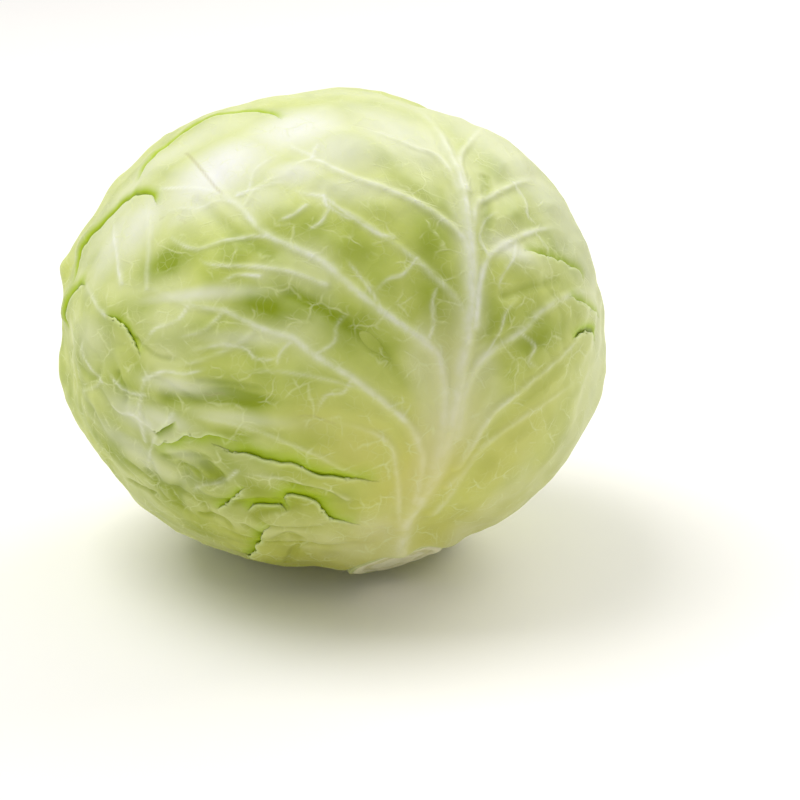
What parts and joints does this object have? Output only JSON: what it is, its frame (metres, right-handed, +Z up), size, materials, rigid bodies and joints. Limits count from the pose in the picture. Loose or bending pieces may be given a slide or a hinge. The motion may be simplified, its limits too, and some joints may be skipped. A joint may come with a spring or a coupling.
{
  "type": "whole cabbage head",
  "caption": "Round, slightly flattened head of pale green cabbage with overlapping ribbed wrapper leaves round a dense heart and a cut stem, lying on a small flat spot.",
  "frame": {"origin": "under the middle of the head, on the surface it lies on", "axes": "+Z up, +X to the right of the leaf that faces the viewer, -Y towards the viewer; the cut stem points down, to the front and a little to the right"},
  "size_m": [0.1824, 0.1778, 0.1614],
  "materials": {
    "outer_leaf": "waxy, semi-matte",
    "inner_leaf": "waxy, semi-matte",
    "heart": "waxy, semi-matte",
    "stem": "matte, moist cut face"
  },
  "bodies": {
    "root": {"heart": "heart", "stem": "stem", "leaf_front": "outer_leaf", "leaf_rear_right": "outer_leaf", "leaf_left": "outer_leaf", "leaf_right": "inner_leaf", "leaf_rear": "inner_leaf", "leaf_front_left": "inner_leaf"}
  },
  "joints": []
}
